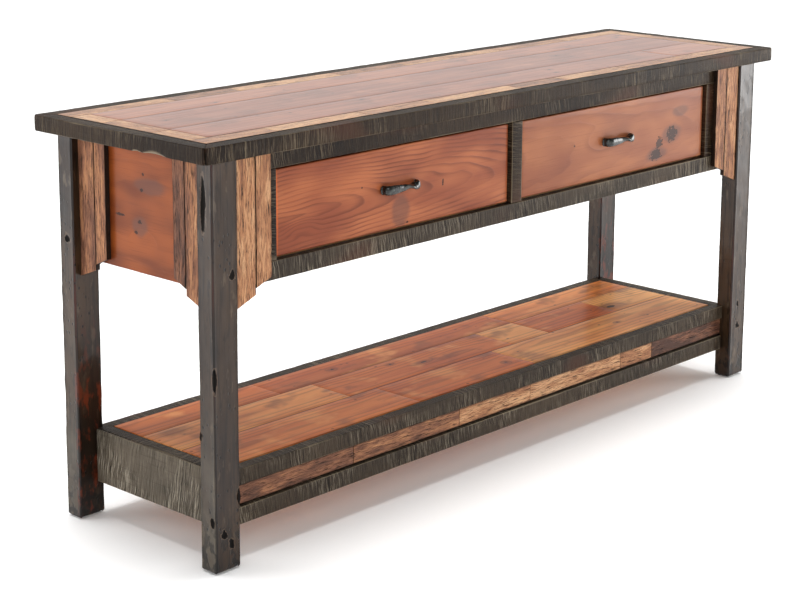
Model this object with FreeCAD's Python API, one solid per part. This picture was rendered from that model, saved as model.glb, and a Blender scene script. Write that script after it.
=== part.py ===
import FreeCAD, Part
import os

# Rustic console table: a plank top in a dark mitred edge, four square legs, an apron with
# two inset drawers, stepped boards beside the legs, and a plank shelf near the floor.
# Millimetres. +X runs along the table, -Y is the drawer side, +Z is up.
# The origin is on the floor, under the middle of the top.

# Overall sizes
table_length = 1812.0
table_depth = 498.0
table_height = 813.0

# Top
edge_height = 33.0
edge_width = 34.0
edge_round = 3.0
inlay_width = 45.0
plank_thickness = 18.0
back_plank_width = 92.0
front_plank_width = 110.0
front_plank_shares = (0.874, 0.126)
front_inlay_shares = (0.10, 0.14, 0.11, 0.15, 0.09, 0.13, 0.12, 0.16)
back_inlay_shares = (0.15, 0.10, 0.17, 0.12, 0.19, 0.14, 0.13)
end_inlay_shares = (0.31, 0.42, 0.27)

# Legs and feet
leg_width = 63.0
leg_depth = 44.0
leg_round = 6.0
foot_chamfer = 4.0
end_overhang = 37.0
side_overhang = 26.0
glide_radius = 14.0
glide_height = 3.0

# Apron
apron_height = 250.0
frame_thickness = 20.0
top_rail_height = 39.0
bottom_rail_height = 37.0
end_stile_width = 112.0
centre_stile_width = 34.0
panel_thickness = 18.0
board_ease = 1.5

# Stepped boards beside the legs, measured from the underside of the apron
bracket_thickness = 13.0
front_bracket_setback = 4.0
end_bracket_setback = 15.0
wide_board_width = 48.0
front_narrow_width = 40.0
end_narrow_width = 34.0
wide_low_drop = 34.0
wide_high_drop = 15.5
narrow_low_drop = 3.5
narrow_high_rise = 12.0
cove_hollow = 2.5

# Drawers
drawer_gap = 3.5
drawer_recess = 8.0
drawer_front_thickness = 20.0
drawer_front_round = 2.0
drawer_side_thickness = 12.0
drawer_bottom_thickness = 6.0
drawer_bottom_lift = 10.0
drawer_groove = 5.0
drawer_rear_clearance = 14.0
box_top_clearance = 22.0
box_bottom_clearance = 14.0

# Steel slides beside each drawer
slide_space = 12.7
slide_height = 35.0
slide_metal = 1.2
slide_depth = 10.0
slide_play = 1.0
slide_end_margin = 6.0
guide_thickness = 20.0
guide_height = 96.0
stop_batten_depth = 16.0
stop_batten_height = 22.0

# Forged pulls
pull_spacing = 92.0
pull_standoff = 18.0
pull_radius = 7.0
pull_foot_radius = 9.0
pull_foot_thickness = 3.0
screw_radius = 2.0
screw_fit = 0.1
screw_hole_play = 0.4
screw_bite = 12.0
screw_head_radius = 4.0
screw_head_height = 2.5

# Shelf
shelf_height = 180.0
shelf_base = 70.0
shelf_edge_height = 33.0
shelf_edge_width = 30.0
shelf_front_setback = 26.0
shelf_end_setback = 43.0
end_rail_thickness = 20.0
end_rail_lip = 5.0
end_rail_lip_drop = 0.5
lower_rail_height = 35.0
shelf_inlay_gap = 4.0
shelf_inlay_recess = 4.0
shelf_plank_thickness = 20.0
shelf_back_width = 90.0
shelf_front_width = 127.0
shelf_back_shares = (0.235, 0.474, 0.291)
shelf_middle_shares = (0.291, 0.335, 0.082, 0.165, 0.127)
shelf_front_shares = (0.34, 0.236, 0.424)
shelf_inlay_shares = (0.204, 0.197, 0.145, 0.203, 0.075, 0.176)
subframe_thickness = 18.0
bearer_height = 40.0
bearer_width = 30.0
bearer_count = 4

# Planes that the parts share
top_bottom = table_height - edge_height
core_top = table_height - plank_thickness
edge_inner_x = table_length / 2 - edge_width
edge_inner_y = table_depth / 2 - edge_width
plank_end = edge_inner_x - inlay_width
plank_side = edge_inner_y - inlay_width
leg_outer_x = table_length / 2 - end_overhang
leg_outer_y = table_depth / 2 - side_overhang
leg_inner_x = leg_outer_x - leg_width
leg_inner_y = leg_outer_y - leg_depth
apron_bottom = top_bottom - apron_height
frame_face = leg_outer_y - front_bracket_setback - bracket_thickness
frame_back = frame_face - frame_thickness
panel_face = leg_outer_x - end_bracket_setback - bracket_thickness
opening_top = top_bottom - top_rail_height
opening_bottom = apron_bottom + bottom_rail_height
opening_outer = leg_inner_x - end_stile_width
opening_inner = centre_stile_width / 2
slide_level = (opening_top + opening_bottom) / 2
drawer_face = frame_face - drawer_recess
drawer_back_face = drawer_face - drawer_front_thickness
box_rear = frame_back - drawer_rear_clearance
shelf_edge_bottom = shelf_height - shelf_edge_height
shelf_face_y = leg_outer_y - shelf_front_setback
shelf_face_x = leg_outer_x - shelf_end_setback
shelf_edge_x = shelf_face_x - end_rail_lip
shelf_plank_end = shelf_edge_x - shelf_edge_width
shelf_plank_side = shelf_face_y - shelf_edge_width
lower_rail_back = leg_inner_y

FRONT, BACK, LEFT, RIGHT = (0, -1), (0, 1), (-1, 0), (1, 0)


def vec(x, y, z):
    return FreeCAD.Vector(x, y, z)


def block(x0, x1, y0, y1, z0, z1):
    """A box between two values on each axis, in either order."""
    low = vec(min(x0, x1), min(y0, y1), min(z0, z1))
    return Part.makeBox(abs(x1 - x0), abs(y1 - y0), abs(z1 - z0), low)


def board(x0, x1, y0, y1, z0, z1, ease=board_ease):
    """A sawn board with all its arrises eased."""
    plain = block(x0, x1, y0, y1, z0, z1)
    return plain.makeFillet(ease, plain.Edges)


def prism(points, direction):
    """A flat outline pushed along a direction."""
    return Part.Face(Part.makePolygon(points + points[:1])).extrude(direction)


def group(shapes):
    return Part.makeCompound(shapes)


def save(name, shape):
    shape.exportStep("parts/%s.step" % name)


def mirrored(shape, normal):
    return shape.mirror(vec(0, 0, 0), normal)


def pieces(start, end, shares):
    """Splits the run from start to end into (low, high) stretches in the given shares."""
    total = sum(shares)
    cuts = [start]
    for share in shares:
        cuts.append(cuts[-1] + (end - start) * share / total)
    return list(zip(cuts[:-1], cuts[1:]))


def mitred_board(side, outer_x, outer_y, width, z0, z1):
    """One board of a rectangular frame, its ends cut to the frame's diagonals."""
    sx, sy = side
    inner_x = outer_x - width
    inner_y = outer_y - width
    if sy:
        corners = [(-outer_x, sy * outer_y), (outer_x, sy * outer_y),
                   (inner_x, sy * inner_y), (-inner_x, sy * inner_y)]
    else:
        corners = [(sx * outer_x, -outer_y), (sx * outer_x, outer_y),
                   (sx * inner_x, inner_y), (sx * inner_x, -inner_y)]
    outline = [vec(x, y, z0) for x, y in corners]
    return prism(outline, vec(0, 0, z1 - z0))


def outer_arrises(shape, side, outer):
    """The long edges of a mitred board on its outer face."""
    axis = 0 if side[0] else 1
    return [edge for edge in shape.Edges
            if all(abs(abs(v.Point[axis]) - outer) < 0.01 for v in edge.Vertexes)
            and abs(edge.Vertexes[0].Z - edge.Vertexes[-1].Z) < 0.01]


# ---- top ----

def top_edge(side):
    outer = table_length / 2 if side[0] else table_depth / 2
    plain = mitred_board(side, table_length / 2, table_depth / 2, edge_width, top_bottom, table_height)
    return plain.makeFillet(edge_round, outer_arrises(plain, side, outer))


def long_inlay(side, shares):
    """The short offcuts laid along a long side of the top."""
    y0, y1 = side * plank_side, side * edge_inner_y
    return group([block(x0, x1, y0, y1, core_top, table_height)
                  for x0, x1 in pieces(-edge_inner_x, edge_inner_x, shares)])


def end_inlays():
    return group([block(sx * plank_end, sx * edge_inner_x, y0, y1, core_top, table_height)
                  for sx in (-1, 1)
                  for y0, y1 in pieces(-plank_side, plank_side, end_inlay_shares)])


def plank_row(end, y0, y1, thickness, top, shares=(1.0,)):
    return group([block(x0, x1, y0, y1, top - thickness, top)
                  for x0, x1 in pieces(-end, end, shares)])


def top_core():
    return block(-edge_inner_x, edge_inner_x, -edge_inner_y, edge_inner_y, top_bottom, core_top)


# ---- legs ----

def leg(sx, sy):
    plain = block(sx * leg_inner_x, sx * leg_outer_x, sy * leg_inner_y, sy * leg_outer_y,
                  glide_height, top_bottom)
    upright = [edge for edge in plain.Edges
               if abs(edge.Vertexes[0].Z - edge.Vertexes[-1].Z) > apron_height]
    soft = plain.makeFillet(leg_round, upright)
    foot = [edge for edge in soft.Edges
            if all(abs(v.Z - glide_height) < 0.01 for v in edge.Vertexes)]
    return soft.makeChamfer(foot_chamfer, foot)


def foot_glides():
    middle_x = leg_outer_x - leg_width / 2
    middle_y = leg_outer_y - leg_depth / 2
    return group([Part.makeCylinder(glide_radius, glide_height, vec(sx * middle_x, sy * middle_y, 0))
                  for sx in (-1, 1) for sy in (-1, 1)])


# ---- apron ----

def front_rail(z0, z1, half_length):
    return board(-half_length, half_length, -frame_face, -frame_back, z0, z1)


def stile(x0, x1):
    return board(x0, x1, -frame_face, -frame_back, opening_bottom, opening_top)


def end_panel(sx):
    return board(sx * (panel_face - panel_thickness), sx * panel_face,
                 -leg_inner_y, leg_inner_y, apron_bottom, top_bottom)


def back_panel():
    return board(-leg_inner_x, leg_inner_x, frame_back, frame_face, apron_bottom, top_bottom)


def bracket_profiles(narrow_width):
    """Side outlines (distance from the leg, height) of the wide board and the narrow board."""
    far = wide_board_width + narrow_width
    wide = [(0, top_bottom), (0, apron_bottom - wide_low_drop),
            (wide_board_width, apron_bottom - wide_high_drop), (wide_board_width, top_bottom)]
    narrow = [(wide_board_width, top_bottom), (wide_board_width, apron_bottom - narrow_low_drop),
              (far, apron_bottom + narrow_high_rise), (far, top_bottom)]
    return wide, narrow


def bracket_board(outline, thickness, hollow):
    """A board standing in the XZ plane, whose lower edge is a shallow cove."""
    top_near, low_near, low_far, top_far = [vec(x, 0, z) for x, z in outline]
    middle = (low_near + low_far) * 0.5 + vec(0, 0, hollow)
    bottom = Part.LineSegment(low_near, low_far).toShape()
    if hollow > 0:
        bottom = Part.Arc(low_near, middle, low_far).toShape()
    edges = [Part.LineSegment(top_near, low_near).toShape(), bottom,
             Part.LineSegment(low_far, top_far).toShape(),
             Part.LineSegment(top_far, top_near).toShape()]
    return Part.Face(Part.Wire(edges)).extrude(vec(0, thickness, 0))


def bracket(narrow_width):
    """Wide and narrow board side by side, from the leg at X = 0, with their backs at Y = thickness."""
    wide, narrow = bracket_profiles(narrow_width)
    return group([bracket_board(wide, bracket_thickness, 0),
                  bracket_board(narrow, bracket_thickness, cove_hollow)])


def front_bracket(sx):
    shape = bracket(front_narrow_width)
    shape.translate(vec(-leg_inner_x, -(leg_outer_y - front_bracket_setback), 0))
    return shape if sx < 0 else mirrored(shape, vec(1, 0, 0))


def end_bracket(sx, sy):
    shape = bracket(end_narrow_width)
    shape.rotate(vec(0, 0, 0), vec(0, 0, 1), -90)
    shape.translate(vec(-(leg_outer_x - end_bracket_setback), leg_inner_y, 0))
    if sx > 0:
        shape = mirrored(shape, vec(1, 0, 0))
    if sy < 0:
        shape = mirrored(shape, vec(0, 1, 0))
    return shape


# ---- drawers and what carries them ----

def drawer_guides():
    """The boards that carry the outer slides, and the battens that close the gap under the drawers."""
    z0 = slide_level - guide_height / 2
    guides = [block(sx * opening_outer, sx * (opening_outer + guide_thickness),
                    -frame_back, frame_back, z0, z0 + guide_height) for sx in (-1, 1)]
    battens = [block(sx * opening_inner, sx * (opening_outer + guide_thickness),
                     -frame_back, -frame_back + stop_batten_depth,
                     opening_bottom - stop_batten_height, opening_bottom) for sx in (-1, 1)]
    return group(guides + battens)


def drawer_divider():
    return block(-opening_inner, opening_inner, -frame_back, frame_back, apron_bottom, top_bottom)


def channel(wall_x, toward, depth, height):
    """A folded steel channel: its web on the plane x = wall_x, its flanges pointing along toward."""
    y0, y1 = -drawer_back_face + slide_end_margin, box_rear - slide_end_margin
    z0 = slide_level - height / 2
    tip = wall_x + toward * depth
    outside = block(wall_x, tip, y0, y1, z0, z0 + height)
    hollow = block(wall_x + toward * slide_metal, tip + toward, y0 - 1, y1 + 1,
                   z0 + slide_metal, z0 + height - slide_metal)
    return outside.cut(hollow)


def fixed_slides():
    walls = [(-opening_outer, 1), (-opening_inner, -1), (opening_inner, 1), (opening_outer, -1)]
    return group([channel(x, toward, slide_depth, slide_height) for x, toward in walls])


def drawer_slides(x0, x1):
    height = slide_height - 2 * slide_metal - 2 * slide_play
    depth = slide_space - slide_metal - slide_play
    return group([channel(x0 + slide_space, -1, depth, height),
                  channel(x1 - slide_space, 1, depth, height)])


def drawer_levels():
    return opening_bottom + box_bottom_clearance, opening_top - box_top_clearance


def drawer_front(x0, x1):
    plain = board(x0 + drawer_gap, x1 - drawer_gap, -drawer_face, -drawer_back_face,
                  opening_bottom + drawer_gap, opening_top - drawer_gap, drawer_front_round)
    for x in pull_places(x0, x1):
        hole = Part.makeCylinder(screw_radius + screw_hole_play, drawer_front_thickness,
                                 vec(x, -drawer_face, slide_level), vec(0, 1, 0))
        plain = plain.cut(hole)
    return plain


def drawer_bottom(x0, x1):
    z0 = drawer_levels()[0] + drawer_bottom_lift
    wall = slide_space + drawer_side_thickness - drawer_groove
    return block(x0 + wall, x1 - wall, -drawer_back_face, box_rear - drawer_side_thickness,
                 z0, z0 + drawer_bottom_thickness)


def drawer_sides(x0, x1):
    z0, z1 = drawer_levels()
    walls = [(x0 + slide_space, x0 + slide_space + drawer_side_thickness),
             (x1 - slide_space - drawer_side_thickness, x1 - slide_space)]
    return group([block(a, b, -drawer_back_face, box_rear, z0, z1).cut(drawer_bottom(x0, x1))
                  for a, b in walls])


def drawer_back(x0, x1):
    z0, z1 = drawer_levels()
    wall = slide_space + drawer_side_thickness
    return block(x0 + wall, x1 - wall, box_rear - drawer_side_thickness, box_rear,
                 z0 + drawer_bottom_lift, z1)


def pull_places(x0, x1):
    middle = (x0 + x1) / 2
    return middle - pull_spacing / 2, middle + pull_spacing / 2


def pull(x0, x1):
    """A round bar held off the drawer front by a post and a flat foot at each end."""
    left, right = pull_places(x0, x1)
    z = slide_level
    bar_y = -drawer_face - pull_standoff
    shape = Part.makeCylinder(pull_radius, right - left, vec(left, bar_y, z), vec(1, 0, 0))
    for x in (left, right):
        shape = shape.fuse(Part.makeSphere(pull_radius, vec(x, bar_y, z)))
        shape = shape.fuse(Part.makeCylinder(pull_radius, pull_standoff, vec(x, bar_y, z), vec(0, 1, 0)))
        shape = shape.fuse(Part.makeCylinder(pull_foot_radius, pull_foot_thickness,
                                             vec(x, -drawer_face, z), vec(0, -1, 0)))
        shape = shape.cut(Part.makeCylinder(screw_radius + screw_fit, screw_bite + screw_fit,
                                            vec(x, -drawer_face, z), vec(0, -1, 0)))
    return shape.removeSplitter()


def pull_screws(x0, x1):
    shapes = []
    for x in pull_places(x0, x1):
        seat = vec(x, -drawer_back_face, slide_level)
        shank = Part.makeCylinder(screw_radius, drawer_front_thickness + screw_bite, seat, vec(0, -1, 0))
        head = Part.makeCylinder(screw_head_radius, screw_head_height, seat, vec(0, 1, 0))
        shapes.append(shank.fuse(head).removeSplitter())
    return group(shapes)


# ---- shelf ----

def leg_spaces():
    return group([block(sx * leg_inner_x, sx * leg_outer_x, sy * leg_inner_y, sy * leg_outer_y,
                        0, top_bottom) for sx in (-1, 1) for sy in (-1, 1)])


def shelf_edge(side):
    """A board of the shelf's mitred border, notched where the legs stand."""
    plain = mitred_board(side, shelf_edge_x, shelf_face_y, shelf_edge_width,
                         shelf_edge_bottom, shelf_height)
    outer = shelf_edge_x if side[0] else shelf_face_y
    soft = plain.makeFillet(board_ease, outer_arrises(plain, side, outer))
    return soft.cut(leg_spaces())


def shelf_end_rail(sx):
    """The tall end board; the shelf's border sits in a rebate behind its upper lip."""
    whole = block(sx * shelf_face_x, sx * (shelf_face_x - end_rail_thickness),
                  -leg_inner_y, leg_inner_y, shelf_base, shelf_height - end_rail_lip_drop)
    rebate = block(sx * shelf_edge_x, sx * (shelf_face_x - end_rail_thickness - 1),
                   -leg_inner_y, leg_inner_y, shelf_edge_bottom, shelf_height)
    return whole.cut(rebate)


def shelf_rail_front():
    return board(-leg_inner_x, leg_inner_x, -shelf_face_y, -lower_rail_back,
                 shelf_base, shelf_base + lower_rail_height)


def shelf_rail_back():
    return board(-leg_inner_x, leg_inner_x, lower_rail_back, shelf_face_y,
                 shelf_base, shelf_edge_bottom)


def shelf_inlay():
    """Offcuts of old siding in the recess between the border and the lower rail."""
    z0 = shelf_base + lower_rail_height + shelf_inlay_gap
    return group([block(x0, x1, -(shelf_face_y - shelf_inlay_recess), -lower_rail_back,
                        z0, shelf_edge_bottom)
                  for x0, x1 in pieces(-leg_inner_x, leg_inner_x, shelf_inlay_shares)])


def shelf_subframe():
    """Two long boards under the border and the cross bearers that carry the planks."""
    end = shelf_face_x - end_rail_thickness
    inner = lower_rail_back - subframe_thickness
    longs = [block(-end, end, sy * lower_rail_back, sy * inner, shelf_base, shelf_edge_bottom)
             for sy in (-1, 1)]
    top = shelf_height - shelf_plank_thickness
    pitch = 2 * (end - bearer_width) / (bearer_count - 1)
    first = -end + bearer_width / 2
    bearers = [block(x, x + bearer_width, -inner, inner, top - bearer_height, top)
               for x in [first + pitch * i for i in range(bearer_count)]]
    return group(longs + bearers)


os.makedirs("parts", exist_ok=True)

for name, side in (("front", FRONT), ("back", BACK), ("left", LEFT), ("right", RIGHT)):
    save("top_edge_" + name, top_edge(side))
    save("shelf_edge_" + name, shelf_edge(side))

save("top_inlay_front", long_inlay(-1, front_inlay_shares))
save("top_inlay_back", long_inlay(1, back_inlay_shares))
save("top_inlay_ends", end_inlays())
save("top_plank_back", plank_row(plank_end, plank_side - back_plank_width, plank_side,
                                 plank_thickness, table_height))
save("top_plank_middle", plank_row(plank_end, -plank_side + front_plank_width,
                                   plank_side - back_plank_width, plank_thickness, table_height))
save("top_plank_front", plank_row(plank_end, -plank_side, -plank_side + front_plank_width,
                                  plank_thickness, table_height, front_plank_shares))
save("top_core", top_core())

for sy, depth_name in ((-1, "front"), (1, "back")):
    for sx, side_name in ((-1, "left"), (1, "right")):
        save("leg_%s_%s" % (depth_name, side_name), leg(sx, sy))
        save("bracket_%s_end_%s" % (side_name, depth_name), end_bracket(sx, sy))
save("foot_glides", foot_glides())

save("apron_rail_top", front_rail(opening_top, top_bottom, leg_inner_x))
save("apron_rail_bottom", front_rail(apron_bottom, opening_bottom, leg_inner_x))
save("apron_stile_left", stile(-leg_inner_x, -opening_outer))
save("apron_stile_centre", stile(-opening_inner, opening_inner))
save("apron_stile_right", stile(opening_outer, leg_inner_x))
save("back_panel", back_panel())
for sx, side_name in ((-1, "left"), (1, "right")):
    save("end_panel_" + side_name, end_panel(sx))
    save("bracket_front_" + side_name, front_bracket(sx))

save("drawer_guides", drawer_guides())
save("drawer_divider", drawer_divider())
save("fixed_slides", fixed_slides())
for side_name, x0, x1 in (("left", -opening_outer, -opening_inner),
                          ("right", opening_inner, opening_outer)):
    save(side_name + "_drawer_front", drawer_front(x0, x1))
    save(side_name + "_drawer_sides", drawer_sides(x0, x1))
    save(side_name + "_drawer_back", drawer_back(x0, x1))
    save(side_name + "_drawer_bottom", drawer_bottom(x0, x1))
    save(side_name + "_drawer_slides", drawer_slides(x0, x1))
    save(side_name + "_pull", pull(x0, x1))
    save(side_name + "_pull_screws", pull_screws(x0, x1))

save("shelf_plank_back", plank_row(shelf_plank_end, shelf_plank_side - shelf_back_width,
                                   shelf_plank_side, shelf_plank_thickness, shelf_height,
                                   shelf_back_shares))
save("shelf_plank_middle", plank_row(shelf_plank_end, -shelf_plank_side + shelf_front_width,
                                     shelf_plank_side - shelf_back_width, shelf_plank_thickness,
                                     shelf_height, shelf_middle_shares))
save("shelf_plank_front", plank_row(shelf_plank_end, -shelf_plank_side,
                                    -shelf_plank_side + shelf_front_width, shelf_plank_thickness,
                                    shelf_height, shelf_front_shares))
save("shelf_rail_front", shelf_rail_front())
save("shelf_rail_back", shelf_rail_back())
save("shelf_inlay", shelf_inlay())
save("shelf_subframe", shelf_subframe())
for sx, side_name in ((-1, "left"), (1, "right")):
    save("shelf_end_rail_" + side_name, shelf_end_rail(sx))
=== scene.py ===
"""A rustic console table: sawn and stained boards, siding offcuts, glossy planks, iron pulls."""
import math
import random
import bpy
from mathutils import Matrix, Vector


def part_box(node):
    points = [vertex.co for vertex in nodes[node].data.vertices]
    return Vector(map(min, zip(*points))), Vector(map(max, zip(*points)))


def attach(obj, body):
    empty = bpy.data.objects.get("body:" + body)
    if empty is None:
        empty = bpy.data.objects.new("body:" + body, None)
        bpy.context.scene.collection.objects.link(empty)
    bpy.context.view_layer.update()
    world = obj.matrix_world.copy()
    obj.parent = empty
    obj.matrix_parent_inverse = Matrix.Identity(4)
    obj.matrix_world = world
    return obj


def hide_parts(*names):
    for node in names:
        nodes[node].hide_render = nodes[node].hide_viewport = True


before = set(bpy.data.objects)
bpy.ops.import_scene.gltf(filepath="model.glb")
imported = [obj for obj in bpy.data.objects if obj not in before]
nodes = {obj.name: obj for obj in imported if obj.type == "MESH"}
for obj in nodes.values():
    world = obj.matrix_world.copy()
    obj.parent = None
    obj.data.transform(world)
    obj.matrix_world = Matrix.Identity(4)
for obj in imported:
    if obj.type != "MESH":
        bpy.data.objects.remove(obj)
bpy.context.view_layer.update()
X, Y, Z = 0, 1, 2


# ---------------------------------------------------------------- shader maths

class Value:
    """A number on a shader socket; an expression on values adds its Math nodes."""

    def __init__(self, shading, socket):
        self.shading = shading
        self.socket = socket

    def math(self, operation, *others, swap=False):
        parts = [self] + list(others)
        if swap:
            parts.reverse()
        return self.shading.add("ShaderNodeMath", {"operation": operation}, dict(enumerate(parts)))

    def __add__(self, other):
        return self.math("ADD", other)

    def __sub__(self, other):
        return self.math("SUBTRACT", other)

    def __mul__(self, other):
        return self.math("MULTIPLY", other)

    def __truediv__(self, other):
        return self.math("DIVIDE", other)

    def __rsub__(self, other):
        return self.math("SUBTRACT", other, swap=True)

    __radd__ = __add__
    __rmul__ = __mul__

    def root(self):
        return self.math("SQRT")

    def fraction(self):
        return self.math("FRACT")

    def most(self, other):
        return self.math("MAXIMUM", other)

    def rise(self, low, high):
        """0 below low, 1 above high, smooth between."""
        return self.shading.add("ShaderNodeMapRange", {"interpolation_type": "SMOOTHSTEP"},
                                {"Value": self, "From Min": low, "From Max": high})


class Shading:
    """Adds nodes to a material's or the world's node tree."""

    def __init__(self, tree):
        self.tree = tree

    def add(self, kind, settings, inputs, output=0):
        node = self.tree.nodes.new(kind)
        for key, setting in settings.items():
            if key == "stops":
                self.set_stops(node.color_ramp, setting)
            else:
                setattr(node, key, setting)
        for key, given in inputs.items():
            self.plug(node.inputs[key], given)
        return Value(self, node.outputs[output])

    def plug(self, socket, given):
        if isinstance(given, Value):
            self.tree.links.new(given.socket, socket)
        else:
            socket.default_value = given

    def set_stops(self, ramp, stops):
        while len(ramp.elements) < len(stops):
            ramp.elements.new(0.5)
        for element, (place, colour) in zip(ramp.elements, stops):
            element.position = place
            element.color = colour

    def split(self, vector):
        return [self.add("ShaderNodeSeparateXYZ", {}, {0: vector}, i) for i in range(3)]

    def join(self, x, y, z):
        return self.add("ShaderNodeCombineXYZ", {}, {0: x, 1: y, 2: z})

    def mix(self, factor, a, b, blend="MIX"):
        return self.add("ShaderNodeMix", {"data_type": "RGBA", "blend_type": blend, "clamp_factor": True},
                        {0: factor, 6: a, 7: b}, 2)

    def ramp(self, value, stops):
        return self.add("ShaderNodeValToRGB", {"stops": stops}, {0: value})


class Finish(Shading):
    """A material with one Principled shader."""

    def __init__(self, name):
        self.material = bpy.data.materials.new(name)
        self.material.use_nodes = True
        super().__init__(self.material.node_tree)
        self.tree.nodes.clear()
        self.shader = self.tree.nodes.new("ShaderNodeBsdfPrincipled")
        output = self.tree.nodes.new("ShaderNodeOutputMaterial")
        self.tree.links.new(self.shader.outputs[0], output.inputs[0])

    def number(self, name):
        """A number that the board maker stored on the mesh."""
        return self.add("ShaderNodeAttribute", {"attribute_name": name}, {}, 2)

    def grain(self):
        """Metres along, across and through the board from its middle, and the board's own seed."""
        place = self.add("ShaderNodeAttribute", {"attribute_name": "grain"}, {}, 1)
        return self.split(place) + [self.number("seed")]

    def place(self):
        """Metres on the table's own axes."""
        return self.split(self.add("ShaderNodeTexCoord", {}, {}, 3))

    def noise(self, x, y, z, detail=2.0, rough=0.5):
        return self.add("ShaderNodeTexNoise", {},
                        {"Vector": self.join(x, y, z), "Scale": 1.0, "Detail": detail,
                         "Roughness": rough})

    def cells(self, x, y, z):
        """Distance to the nearest of scattered points."""
        return self.add("ShaderNodeTexVoronoi", {}, {"Vector": self.join(x, y, z), "Scale": 1.0})

    def spots(self, a, b, places):
        """1 in the middle of each (a, b, length, width) oval, 0 outside them all."""
        total = 0.0
        for middle_a, middle_b, length, width in places:
            across_a = (a - middle_a) / (length / 2)
            across_b = (b - middle_b) / (width / 2)
            oval = 1.0 - (across_a * across_a + across_b * across_b).root().rise(0.2, 1.0)
            total = oval.most(total)
        return total

    def done(self, colour, roughness, height=None, relief=0.001, coat=0.0, coat_rough=0.1,
             metallic=0.0, specular=0.5):
        for name, given in (("Base Color", colour), ("Roughness", roughness), ("Coat Weight", coat),
                            ("Coat Roughness", coat_rough), ("Metallic", metallic),
                            ("Specular IOR Level", specular)):
            self.plug(self.shader.inputs[name], given)
        if height is not None:
            bump = self.add("ShaderNodeBump", {}, {"Height": height, "Distance": relief})
            self.plug(self.shader.inputs["Normal"], bump)
        return self.material


def paint(red, green, blue):
    """A colour given as 0 to 255 display values."""
    def linear(value):
        value = value / 255
        return value / 12.92 if value <= 0.04045 else ((value + 0.055) / 1.055) ** 2.4
    return (linear(red), linear(green), linear(blue), 1.0)


# ---------------------------------------------------------------- wood finishes

PATTERN_SHIFT = 9.0     # how far along the grain one board's pattern may start from another's


def dark_sawn_wood():
    """Rough-sawn boards under dark stain: marks across the grain, a thin worn line at the arrises."""
    finish = Finish("dark_sawn_wood")
    u, v, w, seed = finish.grain()
    u = u + seed * PATTERN_SHIFT
    arris = finish.number("arris")
    dent = finish.number("dent")
    tone = finish.number("tone")
    lean = u + v * 0.14 + finish.noise(u * 12.0, v * 30.0, w * 30.0) * 0.008
    coarse = finish.noise(lean * 330.0, v * 9.0, w * 9.0 + seed, 3.0, 0.62)
    fine = finish.noise(lean * 900.0, v * 30.0, w * 30.0, 2.0, 0.6)
    patch = finish.noise(u * 8.0, v * 14.0, w * 14.0, 3.0).rise(0.42, 0.60)
    fibre = finish.noise(u * 9.0, v * 260.0, w * 260.0, 3.0)
    saw = coarse * 0.45 + fine * 0.55
    ridge = saw.rise(0.52, 0.60) * (patch * 0.8 + 0.2) * tone.rise(0.0, 0.5)
    groove = (1.0 - saw.rise(0.42, 0.48)) * (patch * 0.5 + 0.5)
    cloud = finish.noise(u * 3.0, v * 8.0, w * 8.0 + 2.0, 2.0)
    colour = finish.mix(cloud.rise(0.35, 0.7), paint(34, 22, 13), paint(56, 42, 29))
    colour = finish.mix((tone - 0.5) * 0.6, colour, paint(140, 130, 114))
    mark = finish.mix((tone - 0.5) * 2.0, paint(118, 104, 84), paint(184, 174, 156))
    colour = finish.mix(ridge * 0.7, colour, mark)
    colour = finish.mix(groove * 0.9, colour, paint(10, 6, 4))
    colour = finish.mix(fibre.rise(0.58, 0.72) * 0.22, colour, paint(16, 11, 8))
    red = finish.noise(u * 4.0, v * 10.0, w * 10.0 + 7.0, 1.0).rise(0.56, 0.72)
    colour = finish.mix(red * 0.4, colour, paint(86, 46, 30))
    worn = (arris + (fibre - 0.5) * 0.4 + (cloud - 0.5) * 0.5).rise(0.74, 0.94)
    colour = finish.mix(worn * 0.55, colour, paint(144, 130, 106))
    colour = finish.mix(dent.rise(0.15, 0.5) * 0.8, colour, paint(140, 126, 106))
    height = saw * 0.8 + fibre * 0.2
    return finish.done(colour, 0.34 + coarse * 0.3, height, 0.0020, coat=0.04, coat_rough=0.2,
                       specular=0.08)


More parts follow.
